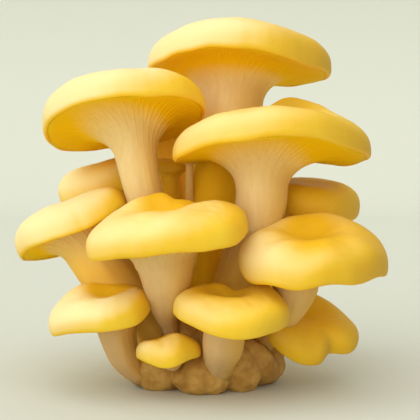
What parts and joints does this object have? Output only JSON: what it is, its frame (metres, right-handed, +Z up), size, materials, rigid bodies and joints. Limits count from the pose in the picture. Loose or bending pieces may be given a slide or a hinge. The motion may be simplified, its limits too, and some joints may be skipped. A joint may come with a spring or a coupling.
{
  "type": "oyster mushroom cluster",
  "caption": "Cluster of yellow oyster mushrooms: wavy shelf-like caps with gills running down pale stems, grown together from one lobed clump.",
  "frame": {"origin": "middle of the flat spot that the clump rests on, on the floor plane", "axes": "+Z up, -Y the side that the picture shows, +X to the right in the picture"},
  "size_m": [0.1367, 0.131, 0.1392],
  "materials": {
    "cap_skin": "soft satin yellow cap skin, paler where it bulges and deeper golden in its hollows",
    "stem_flesh": "matt cream to pale peach stem and gills, golden under the rim",
    "clump_flesh": "matt ochre brown, where the stems have grown together"
  },
  "bodies": {
    "root": {"clump": "clump_flesh", "stem_top": "stem_flesh", "cap_top": "cap_skin", "stem_upper_left": "stem_flesh", "cap_upper_left": "cap_skin", "stem_upper_right": "stem_flesh", "cap_upper_right": "cap_skin", "stem_front": "stem_flesh", "cap_front": "cap_skin", "stem_left": "stem_flesh", "cap_left": "cap_skin", "stem_shoulder_left": "stem_flesh", "cap_shoulder_left": "cap_skin", "stem_lower_left": "stem_flesh", "cap_lower_left": "cap_skin", "stem_lower_front": "stem_flesh", "cap_lower_front": "cap_skin", "stem_right": "stem_flesh", "cap_right": "cap_skin", "stem_shoulder_right": "stem_flesh", "cap_shoulder_right": "cap_skin", "stem_lower_right": "stem_flesh", "cap_lower_right": "cap_skin", "stem_bud_front": "stem_flesh", "cap_bud_front": "cap_skin", "stem_inner": "stem_flesh", "cap_inner": "cap_skin", "stem_slender": "stem_flesh", "cap_slender": "cap_skin", "stem_back_left": "stem_flesh", "cap_back_left": "cap_skin", "stem_back_right": "stem_flesh", "cap_back_right": "cap_skin", "stem_back_low": "stem_flesh", "cap_back_low": "cap_skin"}
  },
  "joints": []
}
